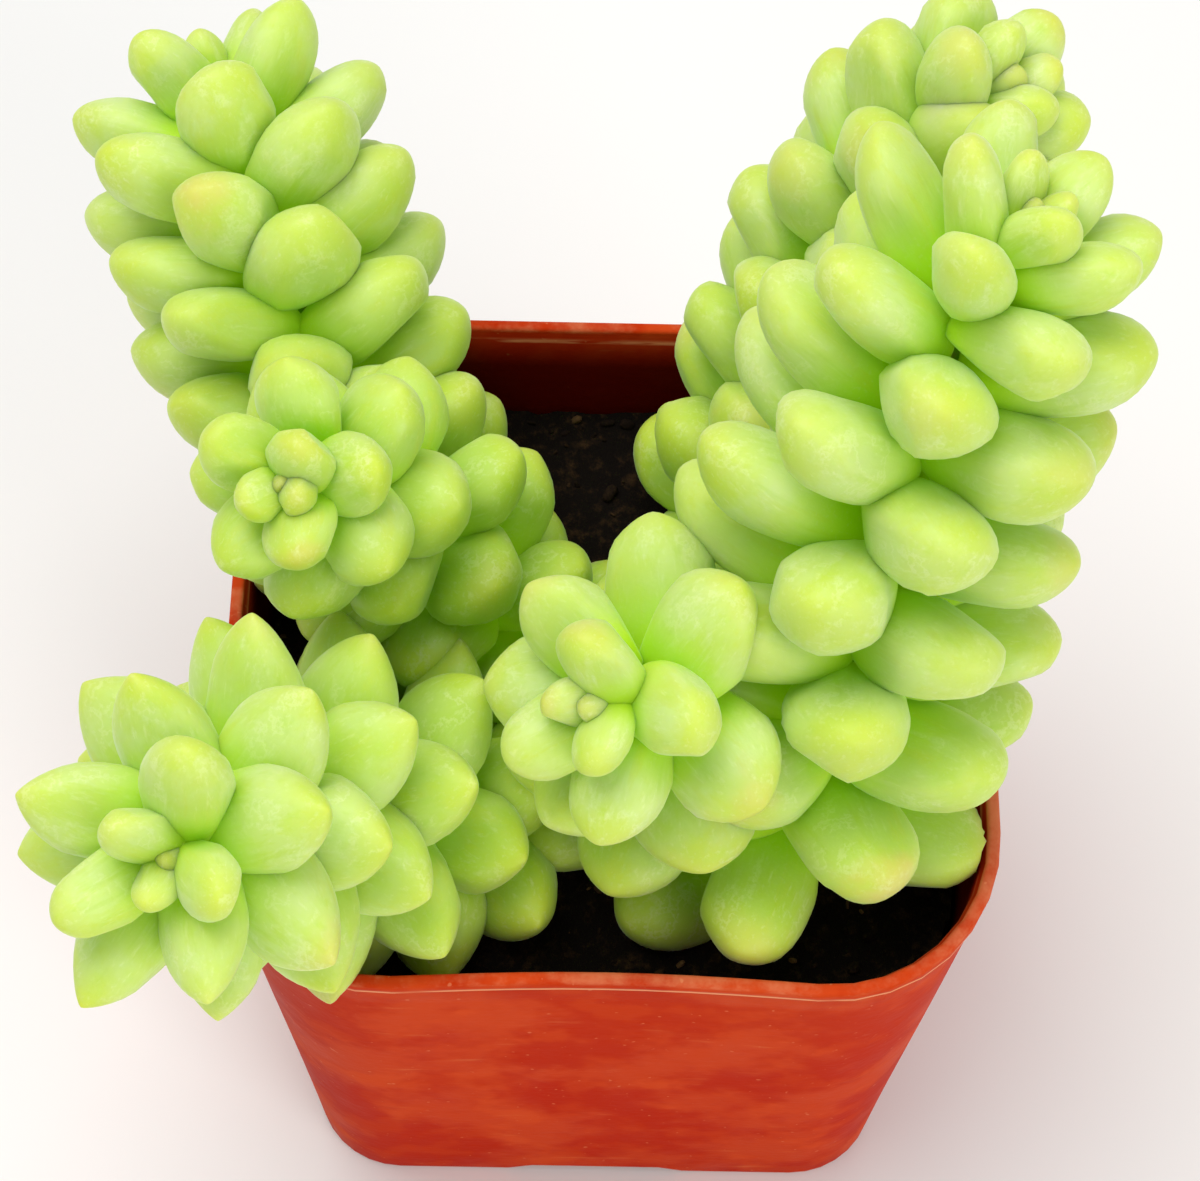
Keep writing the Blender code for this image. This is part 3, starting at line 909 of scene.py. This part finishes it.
@dataclass
class LeafMaster:
    """One leaf of unit length and width, which every leaf of its form is copied from."""

    form: LeafForm
    sides: int = 14
    rings: Tuple[float, ...] = (0.02, 0.09, 0.22, 0.38, 0.55, 0.72, 0.86, 0.95, 0.988)
    under: float = 0.86
    upper: float = 0.70
    keel: float = 0.06
    keel_width: float = 0.12
    top: float = 1.004
    odd_place: Point = (2.31, 1.17, 4.73)

    def put_in_order(self) -> None:
        """Number the mesh's parts by how far they lie from an odd place, the same in every run."""
        cursor = bpy.context.scene.cursor
        cursor.location = self.odd_place
        bpy.ops.mesh.sort_elements(type="CURSOR_DISTANCE", elements={"VERT", "EDGE", "FACE"})
        cursor.location = (0, 0, 0)

    @staticmethod
    def draw_to_point(rise: float) -> None:
        """Extrude the selected ring by this much and close it in a point."""
        bpy.ops.mesh.extrude_edges_move()
        bpy.ops.transform.translate(value=(0, 0, rise))
        bpy.ops.mesh.merge(type="CENTER")

    def build(self) -> bpy.types.Object:
        """Return the leaf: its foot at the origin, pointing up, its underside towards +Y."""
        Workbench.clear()
        bpy.ops.mesh.primitive_circle_add(vertices=self.sides, radius=0.5)
        leaf = bpy.context.object
        lowest = self.rings[0]
        reached, girth = 0.0, 1.0
        with Workbench.editing(leaf):
            for share in self.rings:
                if reached > 0:
                    bpy.ops.mesh.extrude_edges_move()
                bpy.ops.transform.translate(value=(0, 0, share - reached))
                wanted = self.form.girth(share)
                scale = wanted / girth
                bpy.ops.transform.resize(value=(scale, scale, 1))
                reached, girth = share, wanted
            self.draw_to_point(self.top - reached)
            Workbench.pick(leaf, "VERT", lambda vertex: vertex.co.z < lowest * 1.01)
            self.draw_to_point(-lowest)
            bpy.ops.mesh.select_all(action="SELECT")
            bpy.ops.mesh.normals_make_consistent(inside=False)
            self.put_in_order()
        Workbench.modify(leaf, "SUBSURF", levels=1, render_levels=1)
        points = points_of(leaf.data)
        depth = np.where(points[:, 1] > 0, self.under, self.upper)
        ridge = self.keel * np.exp(-(points[:, 0] / self.keel_width) ** 2) * np.clip(points[:, 1], 0, 1)
        points[:, 1] = points[:, 1] * depth + ridge
        put_points(leaf.data, points)
        return leaf


@dataclass(frozen=True)
class Shoot:
    """One shoot: its path in millimetres, and the rule that its leaves follow."""

    name: str
    path: Tuple[Point, Point, Point, Point]
    leaves: int
    first_angle: float
    turn: int
    spacing: float
    leaf_length: float
    leaf_width: float
    spread: float
    crowding: float
    growing: float
    opening: float
    form: LeafForm
    # How much painted shade the whole shoot gets, as it stands under another shoot.
    shaded: float = 0.0


SHOOTS = (
    Shoot("right_tall", ((12.7, -12.3, 44.0), (19.0, -17.2, 62.4), (18.0, 3.0, 85.0), (27.9, 7.6, 105.7)),
          56, 210, 1, 1.38, 15.9, 9.2, 77, 7.0, 6.8, 7.2, LeafForm.BLUNT),
    Shoot("left_back",
          ((-15.4, 11.1, 44.0), (-27.0, 18.5, 59.2), (-25.5, 24.1, 68.2), (-34.5, 42.2, 75.8)),
          56, 85, -1, 0.91, 14.0, 8.6, 77, 2.6, 4.2, 4.2, LeafForm.BLUNT),
    Shoot("left_front",
          ((-8.9, -12.5, 43.3), (-18.3, -13.1, 54.2), (-28.1, -17.4, 65.1), (-31.8, -29.7, 79.5)),
          50, 21, -1, 1.08, 14.8, 8.8, 89, 5.7, 4.4, 6.8, LeafForm.POINTED),
    Shoot("centre", ((5.5, -6.5, 44.0), (6.2, -9.6, 59.9), (6.6, -10.8, 74.2), (-0.6, -17.5, 80.9)),
          36, 18, 1, 1.66, 14.1, 9.8, 85, 4.6, 5.4, 4.6, LeafForm.OBTUSE),
    Shoot("right_back", ((11.9, 18.0, 44.0), (15.7, 18.2, 66.7), (20.3, 30.8, 82.6), (28.5, 30.7, 92.8)),
          50, 101, 1, 1.23, 12.3, 8.6, 65, 6.0, 5.3, 7.9, LeafForm.BLUNT),
    Shoot("left_middle", ((-7.0, 3.5, 43.9), (-13.9, 8.8, 58.7), (-22.2, 10.3, 69.4), (-24.9, 0.1, 82.2)),
          34, 93, -1, 1.56, 11.9, 8.9, 80, 4.8, 6.1, 6.1, LeafForm.OBTUSE, 0.45),
)


class Path:
    """A shoot's smooth path, with an untwisted frame at every point."""

    steps = 80

    def __init__(self, corners: Sequence[Point]) -> None:
        """Work out the path.

        Args:
            corners: the four control points, in millimetres.
        """
        self.corners = [Vector(corner) * MM for corner in corners]
        start, rise, lean, end = self.corners
        self.points = []
        for step in range(self.steps + 1):
            far = step / self.steps
            near = 1 - far
            self.points.append(near ** 3 * start + 3 * near * near * far * rise
                               + 3 * near * far * far * lean + far ** 3 * end)
        self.tangents = [(after - before).normalized()
                         for before, after in zip(self.points, self.points[1:])]
        self.tangents.append(self.tangents[-1])
        self.sides = [self.square_to(Vector((1, 0, 0)), self.tangents[0])]
        for before, after in zip(self.tangents, self.tangents[1:]):
            turned = before.rotation_difference(after) @ self.sides[-1]
            self.sides.append(self.square_to(turned, after))
        self.reached = [0.0]
        for before, after in zip(self.points, self.points[1:]):
            self.reached.append(self.reached[-1] + (after - before).length)
        self.length = self.reached[-1]

    @staticmethod
    def square_to(vector: Vector, axis: Vector) -> Vector:
        """Return the vector's direction, turned square to an axis."""
        return (vector - axis * vector.dot(axis)).normalized()

    def at(self, distance: float) -> Tuple[Vector, Vector, Vector]:
        """Find a place on the path.

        Args:
            distance: how far along the path, from the soil.

        Returns:
            The point, the direction of growth, and one side.
        """
        if distance <= 0:
            return self.points[0] + self.tangents[0] * distance, self.tangents[0], self.sides[0]
        if distance >= self.length:
            return self.points[-1], self.tangents[-1], self.sides[-1]
        step = next(i for i, reached in enumerate(self.reached) if reached > distance) - 1
        share = (distance - self.reached[step]) / (self.reached[step + 1] - self.reached[step])
        point = self.points[step].lerp(self.points[step + 1], share)
        tangent = self.tangents[step].lerp(self.tangents[step + 1], share).normalized()
        side = self.square_to(self.sides[step].lerp(self.sides[step + 1], share), tangent)
        return point, tangent, side


@dataclass
class Leaf:
    """Where one leaf starts, the way it points and curves, its size and its looks."""

    number: int
    base: Vector
    direction: Vector
    rise: Vector
    side: Vector
    length: float
    width: float
    curl: float
    tone: float
    blush: float
    shade: float

    def axis_point(self, share: float) -> Vector:
        """Return the point this share of the way along the leaf."""
        along = self.length * share
        return self.base + self.direction * along + self.rise * (self.curl * along * share)


@dataclass
class Succulent:
    """The plant: six shoots of plump leaves that are set on spirals."""

    pot: NurseryPot
    soil: SoilFill
    golden_angle: float = math.radians(137.508)
    base_out: float = 1.2 * MM
    base_full: int = 6
    bud_leaves: int = 6
    smallest: float = 0.25
    curl_range: Range = (0.05, 0.13)
    length_range: Range = (0.94, 1.03)
    blush_spread: Range = (-0.25, 0.5)
    open_scatter: float = 2.5
    roll_scatter: float = 7.0
    width_scatter: float = 0.04
    settling: float = 0.6
    leaf_clearance: float = 1.0 * MM
    shoot_clearance: float = 9.5 * MM
    wall_gap: float = 0.25 * MM
    root_depth: float = 9.0 * MM
    stem_radius: float = 2.1 * MM
    stem_tip: float = 0.6
    bud_core: float = 2.6 * MM
    shade_height: float = 26.0 * MM
    fullness: float = 1.12
    dents: float = 0.08
    flats: int = 5
    flat_middle: float = 0.55
    flat_depth: float = 0.75
    flat_tilt: float = 0.45
    face_reach: Range = (0.31, 0.38)
    edge_reach: Range = (0.37, 0.44)
    seed: int = 7

    def grow(self, shoot: Shoot, path: Path, rng: random.Random) -> List[Leaf]:
        """Set out a shoot's leaves, from the youngest at its tip to the oldest by the soil.

        Args:
            shoot: the shoot and its rule.
            path: the shoot's path.
            rng: the source of each leaf's small differences.

        Returns:
            The leaves in order.
        """
        leaves = []
        for number in range(shoot.leaves):
            packed = shoot.crowding * (1 - math.exp(-number / shoot.crowding))
            distance = path.length - shoot.spacing * MM * (number - packed)
            if distance < 0:
                break
            point, tangent, side = path.at(distance)
            across = tangent.cross(side)
            angle = math.radians(shoot.first_angle) + shoot.turn * self.golden_angle * number
            outward = side * math.cos(angle) + across * math.sin(angle)
            grown = 1 - (1 - self.smallest) * math.exp(-number / shoot.growing)
            opened = math.radians(shoot.spread) * (
                1 - math.exp(-(number + self.settling) / shoot.opening))
            opened += math.radians(rng.gauss(0, self.open_scatter)) * grown
            direction = tangent * math.cos(opened) + outward * math.sin(opened)
            broad = tangent.cross(outward).normalized()
            above_soil = point.z - self.soil.level
            roll = Matrix.Rotation(math.radians(rng.gauss(0, self.roll_scatter)) * grown, 3, direction)
            leaves.append(Leaf(
                number=number,
                base=point + outward * self.base_out * min(1.0, number / self.base_full),
                direction=direction,
                rise=tangent,
                side=roll @ broad,
                length=shoot.leaf_length * MM * grown * rng.uniform(*self.length_range),
                width=shoot.leaf_width * MM * grown * self.fullness * rng.gauss(1.0, self.width_scatter),
                curl=rng.uniform(*self.curl_range),
                tone=rng.random(),
                blush=max(0.0, rng.gauss(*self.blush_spread)),
                # painted shade: darker for leaves low by the soil and for a shoot under another
                shade=min(1.0, shoot.shaded + max(0.0, 1 - above_soil / self.shade_height)),
            ))
        return leaves

    def has_room(self, leaf: Leaf, stronger: Sequence[Path]) -> bool:
        """Tell whether a leaf's middle is clear of the soil, the wall and the stronger shoots."""
        middle = leaf.axis_point(0.6)
        if middle.z < self.soil.level + self.leaf_clearance:
            return False
        for path in stronger:
            if min((middle - point).length for point in path.points) < self.shoot_clearance:
                return False
        reach = max(abs(middle.x), abs(middle.y))
        inside = self.pot.width / 2 - self.pot.wall - self.leaf_clearance
        return middle.z > self.pot.height + self.leaf_clearance or reach < inside

    def flatten(self, unit: np.ndarray, leaf: Leaf) -> Tuple[np.ndarray, np.ndarray]:
        """Press flats into a leaf, as its neighbours do while it grows.

        Args:
            unit: the points of a leaf of unit length and width.
            leaf: the leaf that they become.

        Returns:
            The points' places across the leaf and through it, as two columns.
        """
        rng = random.Random(leaf.number * 31 + round(leaf.tone * 1000))
        points = unit.copy()
        for _ in range(self.flats):
            turn, tilt = rng.uniform(0, math.tau), rng.uniform(-self.flat_tilt, self.flat_tilt)
            on_face = abs(math.sin(turn)) > 0.7
            reach = rng.uniform(*(self.face_reach if on_face else self.edge_reach))
            way = np.array([math.cos(turn), math.sin(turn)])
            past = points[:, :2] @ way + (points[:, 2] - self.flat_middle) * tilt - reach
            points[:, :2] -= np.maximum(past, 0.0)[:, None] * self.flat_depth * way
        return points[:, :1], points[:, 1:2]

    def shape_leaf(self, leaf: Leaf, master: bpy.types.Object) -> bpy.types.Object:
        """Copy a master leaf into its place on the shoot.

        Args:
            leaf: the leaf's place, size and looks.
            master: the leaf of unit size that it is copied from.

        Returns:
            The copy, with the numbers that its skin reads.
        """
        copy = master.copy()
        copy.data = master.data.copy()
        bpy.context.collection.objects.link(copy)
        unit = points_of(copy.data)
        facing = leaf.side.cross(leaf.direction).normalized()
        dent = np.array([noise.noise(Vector(point) * 2.3 + Vector((leaf.number * 3.1, leaf.tone * 17, 0)))
                         for point in unit])
        swell = (1 + self.dents * dent)[:, None]
        unit_across, unit_depth = self.flatten(unit, leaf)
        points = (np.array(leaf.base)
                  + unit_across * swell * np.array(leaf.side * leaf.width)
                  + unit_depth * swell * np.array(facing * leaf.width)
                  + unit[:, 2:] * np.array(leaf.direction * leaf.length)
                  + unit[:, 2:] ** 2 * np.array(leaf.rise * leaf.curl * leaf.length))
        over_rim = leaf.axis_point(0.6).z > self.pot.height + self.leaf_clearance
        points = self.pot.press(points, over_rim, self.wall_gap)
        put_points(copy.data, points)
        for column, name in enumerate(("leaf_across", "leaf_depth", "leaf_along")):
            set_number(copy.data, name, unit[:, column])
        for name in ("tone", "blush", "shade"):
            set_number(copy.data, "leaf_" + name, np.full(len(unit), getattr(leaf, name)))
        return copy

    def stem(self, shoot: Shoot, path: Path, finish: bpy.types.Material) -> None:
        """Draw a shoot's stem as a tapered curve along its path."""
        Workbench.clear()
        bpy.ops.curve.primitive_bezier_curve_add()
        stem = bpy.context.object
        curve = stem.data
        curve.bevel_depth = self.stem_radius
        curve.bevel_resolution = 4
        curve.resolution_u = 24
        curve.use_fill_caps = True
        root = path.corners[0] - path.tangents[0] * self.root_depth
        spline = curve.splines[0]
        spline.bezier_points.add(1)
        tip, tip_way, _ = path.at(path.length - self.bud_core)
        soil_line = path.corners[0]
        halfway = root.lerp(soil_line, 0.5)
        knots = (
            (root, root, halfway, 1.0),
            (soil_line, halfway, path.corners[1], 1.0),
            (tip, path.corners[2], tip + tip_way * MM, self.stem_tip),
        )
        for knot, (place, before, after, radius) in zip(spline.bezier_points, knots):
            knot.handle_left_type = knot.handle_right_type = "FREE"
            knot.co, knot.handle_left, knot.handle_right, knot.radius = place, before, after, radius
        Workbench.take(stem)
        bpy.ops.object.convert(target="MESH")
        stem = bpy.context.object
        Workbench.settle(stem)
        stem.name = "stem_of_" + shoot.name
        Workbench.hand_in(stem, finish, "stem_skin", "stem_" + shoot.name)

    def build(self, skin: bpy.types.Material, stem_skin: bpy.types.Material) -> None:
        """Model every shoot: its stem, its leaves and its bud."""
        masters = {form: LeafMaster(form).build() for form in LeafForm}
        stronger: List[Path] = []
        for index, shoot in enumerate(SHOOTS):
            rng = random.Random(self.seed * 100 + index)
            path = Path(shoot.path)
            leaves = self.grow(shoot, path, rng)
            young = leaves[:self.bud_leaves]
            grown = [leaf for leaf in leaves[self.bud_leaves:] if self.has_room(leaf, stronger)]
            stronger.append(path)
            self.stem(shoot, path, stem_skin)
            for part, slot, members in (("bud_", "bud_skin", young), ("leaves_", "leaf_skin", grown)):
                form = LeafForm.YOUNG if part == "bud_" else shoot.form
                copies = [self.shape_leaf(leaf, masters[form]) for leaf in members]
                piece = Workbench.join(copies, part + "of_" + shoot.name)
                Workbench.settle(piece)
                Workbench.hand_in(piece, skin, slot, part + shoot.name)
        for master in masters.values():
            bpy.data.objects.remove(master, do_unlink=True)


# --- the studio ---------------------------------------------------------------------


@dataclass(frozen=True)
class Lamp:
    """A soft square lamp: where it hangs, its width, its power in watts and its tint."""

    name: str
    place: Point
    width: float
    power: float
    tint: Colour


@dataclass
class Studio:
    """A pale floor, soft lights, and the camera that looks down on the plant's front."""

    elevation: float = 61.0
    yaw: float = -1.0
    roll: float = 2.0
    shift_right: float = -0.83 * MM
    shift_up: float = 4.15 * MM
    distance: float = 265.0 * MM
    target_height: float = 58.0 * MM
    lens: float = 95.1
    sensor: float = 36.0
    floor_size: float = 3.0
    air_tint: Colour = (0.96, 0.98, 1.0)
    air_strength: float = 0.50
    lamps: Tuple[Lamp, ...] = (
        Lamp("overhead", (-0.12, 0.10, 0.62), 0.45, 2.6, (1.0, 0.98, 0.95)),
        Lamp("front_fill", (0.38, -0.50, 0.36), 0.40, 1.8, (1.0, 0.97, 0.93)),
    )

    def camera(self) -> None:
        """Place the camera."""
        up_turn, yaw, roll = (math.radians(value) for value in (self.elevation, self.yaw, self.roll))
        back = Vector((math.sin(yaw) * math.cos(up_turn), -math.cos(yaw) * math.cos(up_turn),
                       math.sin(up_turn)))
        right = Vector((0, 0, 1)).cross(back).normalized()
        above = back.cross(right)
        turned_right = right * math.cos(roll) + above * math.sin(roll)
        turned_up = above * math.cos(roll) - right * math.sin(roll)
        place = (turned_right * self.shift_right + turned_up * self.shift_up + back * self.distance
                 + Vector((0, 0, self.target_height)))
        lens = bpy.data.cameras.new("studio_camera")
        lens.lens, lens.sensor_width, lens.sensor_fit = self.lens, self.sensor, "HORIZONTAL"
        lens.clip_start = 10 * MM
        camera = bpy.data.objects.new("studio_camera", lens)
        bpy.context.scene.collection.objects.link(camera)
        camera.matrix_world = Matrix.Translation(place) @ Matrix(
            (turned_right, turned_up, back)).transposed().to_4x4()
        bpy.context.scene.camera = camera

    def light(self, lamp: Lamp) -> None:
        """Hang a lamp so that it faces the plant."""
        light = bpy.data.lights.new(lamp.name, "AREA")
        light.size, light.energy, light.color = lamp.width, lamp.power, lamp.tint
        holder = bpy.data.objects.new(lamp.name, light)
        bpy.context.scene.collection.objects.link(holder)
        holder.location = lamp.place
        aim = Vector((0, 0, self.target_height)) - Vector(lamp.place)
        holder.rotation_euler = aim.to_track_quat("-Z", "Y").to_euler()

    def build(self) -> None:
        """Set the whole studio up."""
        Workbench.clear()
        bpy.ops.mesh.primitive_plane_add(size=self.floor_size, location=(0, 0, 0))
        floor = bpy.context.object
        floor.name = "studio_floor"
        floor.data.materials.append(PaleFloor().make())
        world = bpy.data.worlds.new("studio_air")
        world.use_nodes = True
        air = world.node_tree.nodes["Background"]
        air.inputs["Color"].default_value = (*self.air_tint, 1.0)
        air.inputs["Strength"].default_value = self.air_strength
        bpy.context.scene.world = world
        for lamp in self.lamps:
            self.light(lamp)
        self.camera()
        bpy.context.scene.view_settings.view_transform = "Standard"


def main() -> None:
    """Build the potted plant and the studio around it."""
    logging.basicConfig(level=logging.INFO, format="%(name)s: %(message)s")
    pot = NurseryPot()
    pot.build(PotPlastic().make())
    soil = SoilFill(pot)
    soil.block(SoilMix().make())
    soil.scatter(CrumbBark().make())
    Succulent(pot, soil).build(WaxySkin().make(), StemSkin().make())
    Studio().build()


if __name__ == "__main__":
    main()
